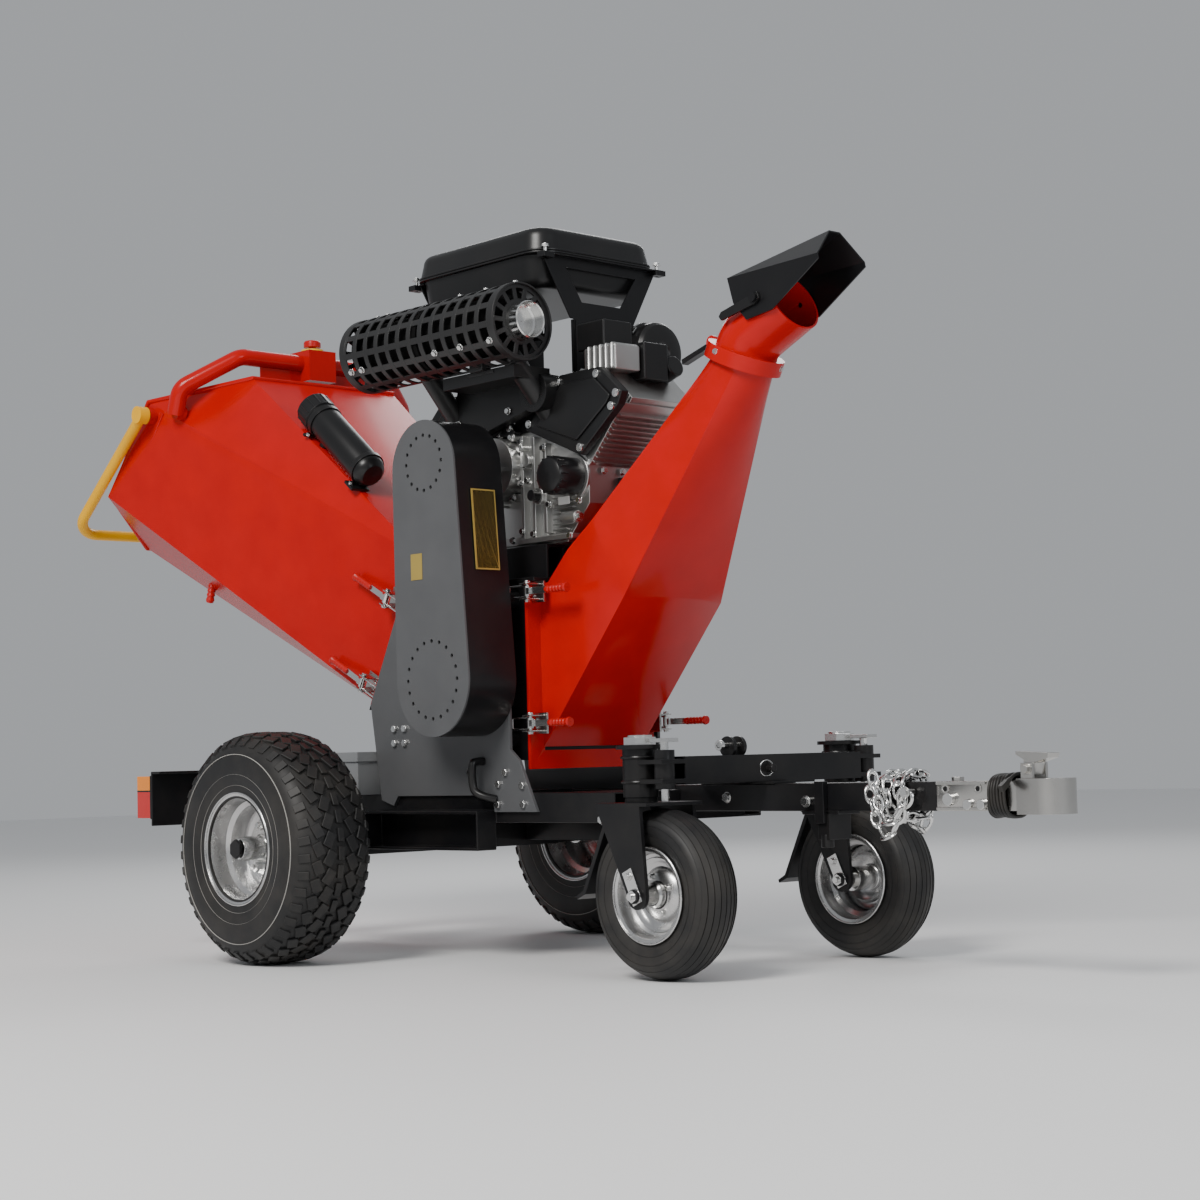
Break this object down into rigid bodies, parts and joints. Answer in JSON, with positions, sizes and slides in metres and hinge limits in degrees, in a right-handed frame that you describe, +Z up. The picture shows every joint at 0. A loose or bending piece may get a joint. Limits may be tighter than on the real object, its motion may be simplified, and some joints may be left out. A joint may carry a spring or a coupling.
{
  "type": "wood chipper",
  "caption": "Towed wood chipper with feed hopper, belt-driven rotor, petrol engine, swivelling discharge elbow, road wheels and swivelling casters.",
  "frame": {"origin": "middle of the bounding box, on the ground", "axes": "+X towards the tow coupler, +Y to the left of travel, +Z up"},
  "size_m": [2.6054, 1.102, 1.49],
  "materials": {
    "black_frame": "satin",
    "charcoal_paint": "satin",
    "red_paint": "gloss",
    "yellow_paint": "gloss",
    "cast_aluminium": "matte",
    "black_plastic": "matte",
    "exhaust_black": "matte",
    "zinc_steel": "satin",
    "machined_steel": "satin",
    "belt_rubber": "matte",
    "tyre_rubber": "matte",
    "silver_rim": "satin",
    "lamp_lens": "gloss",
    "red_plastic": "gloss"
  },
  "bodies": {
    "root": {"chassis_frame": "black_frame", "drawbar": "black_frame", "rear_axle": "black_frame", "front_beam": "black_frame", "light_bar": "black_frame", "battery_box": "black_frame", "engine_deck": "black_frame", "tank_brackets": "black_frame", "belt_guard_case": "black_frame", "shaft_bearings": "black_frame", "housing_side_plates": "charcoal_paint", "housing_shell": "charcoal_paint", "belt_guard_cover": "charcoal_paint", "hopper": "red_paint", "hopper_hoop": "red_paint", "discharge_chute": "red_paint", "switch_box": "red_paint", "engine_block": "cast_aluminium", "engine_cowling": "black_plastic", "air_intake": "black_plastic", "fuel_tank": "black_plastic", "manual_canister": "black_plastic", "oil_filter": "black_plastic", "muffler": "exhaust_black", "muffler_shield": "exhaust_black", "latch_bodies": "zinc_steel", "coupler": "zinc_steel", "safety_chains": "zinc_steel", "fasteners": "zinc_steel", "drive_belts": "belt_rubber", "light_cable": "belt_rubber", "tail_lights": "lamp_lens"},
    "rear_wheel_right": {"rear_tyre_right": "tyre_rubber", "rear_rim_right": "silver_rim"},
    "caster_right": {"caster_fork_right": "black_frame"},
    "caster_wheel_right": {"caster_tyre_right": "tyre_rubber", "caster_rim_right": "silver_rim"},
    "brake_right": {"caster_brake_right": "black_frame"},
    "lock_pin_right": {"lock_pin_right": "zinc_steel"},
    "chute_latch_right": {"chute_latch_right": "zinc_steel"},
    "hopper_latch_right": {"hopper_latch_right": "zinc_steel"},
    "rear_wheel_left": {"rear_tyre_left": "tyre_rubber", "rear_rim_left": "silver_rim"},
    "caster_left": {"caster_fork_left": "black_frame"},
    "caster_wheel_left": {"caster_tyre_left": "tyre_rubber", "caster_rim_left": "silver_rim"},
    "brake_left": {"caster_brake_left": "black_frame"},
    "lock_pin_left": {"lock_pin_left": "zinc_steel"},
    "chute_latch_left": {"chute_latch_left": "zinc_steel"},
    "hopper_latch_left": {"hopper_latch_left": "zinc_steel"},
    "rotor": {"rotor": "machined_steel"},
    "engine_pulley": {"engine_pulley": "machined_steel"},
    "elbow": {"elbow": "red_paint"},
    "elbow_lever": {"elbow_lever": "black_frame"},
    "hood": {"hood": "black_frame"},
    "hood_lever": {"hood_lever": "black_frame"},
    "feed_bar": {"feed_bar": "yellow_paint"},
    "stop_button": {"stop_button": "red_plastic"},
    "fuel_cap": {"fuel_cap": "black_plastic"},
    "coupler_lever": {"coupler_lever": "zinc_steel"}
  },
  "joints": [
    {"name": "rear_wheel_right_spin", "type": "hinge", "parent": "root", "child": "rear_wheel_right", "pos_m": [-0.33525, -0.456, 0.235], "axis": [0, 1, 0], "continuous": true},
    {"name": "caster_right_swivel", "type": "hinge", "parent": "root", "child": "caster_right", "pos_m": [0.55775, -0.273, 0.365], "axis": [0, 0, 1], "continuous": true},
    {"name": "caster_wheel_right_spin", "type": "hinge", "parent": "caster_right", "child": "caster_wheel_right", "pos_m": [0.61275, -0.273, 0.153], "axis": [0, 1, 0], "continuous": true},
    {"name": "brake_right_lever", "type": "hinge", "parent": "caster_right", "child": "brake_right", "pos_m": [0.49775, -0.273, 0.287], "axis": [0, 1, 0], "range_deg": [0, 25]},
    {"name": "lock_pin_right_lift", "type": "slide", "parent": "root", "child": "lock_pin_right", "axis": [0, 0, 1], "range_m": [0, 0.025]},
    {"name": "chute_latch_right_lever", "type": "hinge", "parent": "root", "child": "chute_latch_right", "pos_m": [0.15975, -0.187, 0.6], "axis": [0, 0, -1], "range_deg": [0, 60]},
    {"name": "hopper_latch_right_lever", "type": "hinge", "parent": "root", "child": "hopper_latch_right", "pos_m": [-0.31912, -0.202, 0.65895], "axis": [0.454, 0, 0.891], "range_deg": [0, 70]},
    {"name": "rear_wheel_left_spin", "type": "hinge", "parent": "root", "child": "rear_wheel_left", "pos_m": [-0.33525, 0.456, 0.235], "axis": [0, 1, 0], "continuous": true},
    {"name": "caster_left_swivel", "type": "hinge", "parent": "root", "child": "caster_left", "pos_m": [0.55775, 0.273, 0.365], "axis": [0, 0, 1], "continuous": true},
    {"name": "caster_wheel_left_spin", "type": "hinge", "parent": "caster_left", "child": "caster_wheel_left", "pos_m": [0.61275, 0.273, 0.153], "axis": [0, 1, 0], "continuous": true},
    {"name": "brake_left_lever", "type": "hinge", "parent": "caster_left", "child": "brake_left", "pos_m": [0.49775, 0.273, 0.287], "axis": [0, 1, 0], "range_deg": [0, 25]},
    {"name": "lock_pin_left_lift", "type": "slide", "parent": "root", "child": "lock_pin_left", "axis": [0, 0, 1], "range_m": [0, 0.025]},
    {"name": "chute_latch_left_lever", "type": "hinge", "parent": "root", "child": "chute_latch_left", "pos_m": [0.15975, 0.187, 0.6], "axis": [0, 0, 1], "range_deg": [0, 60]},
    {"name": "hopper_latch_left_lever", "type": "hinge", "parent": "root", "child": "hopper_latch_left", "pos_m": [-0.31912, 0.202, 0.65895], "axis": [-0.454, 0, -0.891], "range_deg": [0, 70]},
    {"name": "rotor_spin", "type": "hinge", "parent": "root", "child": "rotor", "pos_m": [0.03375, 0, 0.56], "axis": [0, 1, 0], "continuous": true},
    {"name": "crankshaft_spin", "type": "hinge", "parent": "root", "child": "engine_pulley", "pos_m": [0.01975, 0, 0.991], "axis": [0, 1, 0], "continuous": true},
    {"name": "elbow_swivel", "type": "hinge", "parent": "root", "child": "elbow", "pos_m": [0.58975, 0, 1.15], "axis": [0.4384, 0, 0.8988], "continuous": true},
    {"name": "elbow_lever_lift", "type": "hinge", "parent": "elbow", "child": "elbow_lever", "pos_m": [0.51644, 0, 1.19132], "axis": [0, 1, 0], "range_deg": [0, 45]},
    {"name": "hood_tilt", "type": "hinge", "parent": "elbow", "child": "hood", "pos_m": [0.68675, 0, 1.243], "axis": [0, 1, 0], "range_deg": [-10, 30]},
    {"name": "hood_lever_turn", "type": "hinge", "parent": "hood", "child": "hood_lever", "pos_m": [0.68675, -0.07, 1.243], "axis": [0, 1, 0], "range_deg": [-15, 25]},
    {"name": "feed_bar_tilt", "type": "hinge", "parent": "root", "child": "feed_bar", "pos_m": [-0.98525, 0, 1.212], "axis": [0, 1, 0], "range_deg": [-12, 12]},
    {"name": "stop_button_press", "type": "slide", "parent": "root", "child": "stop_button", "axis": [0, 0, 1], "range_m": [-0.004, 0], "stiffness_N_per_m": 400},
    {"name": "fuel_cap_turn", "type": "hinge", "parent": "root", "child": "fuel_cap", "pos_m": [-0.08525, 0.02, 1.485], "axis": [0, 0, 1], "range_deg": [0, 90]},
    {"name": "coupler_lever_lift", "type": "hinge", "parent": "root", "child": "coupler_lever", "pos_m": [1.22675, 0, 0.362], "axis": [0, 1, 0], "range_deg": [-42, 0]}
  ],
  "couplings": [
    {"joint": "crankshaft_spin", "follows": "rotor_spin", "ratio": 1.4545}
  ]
}
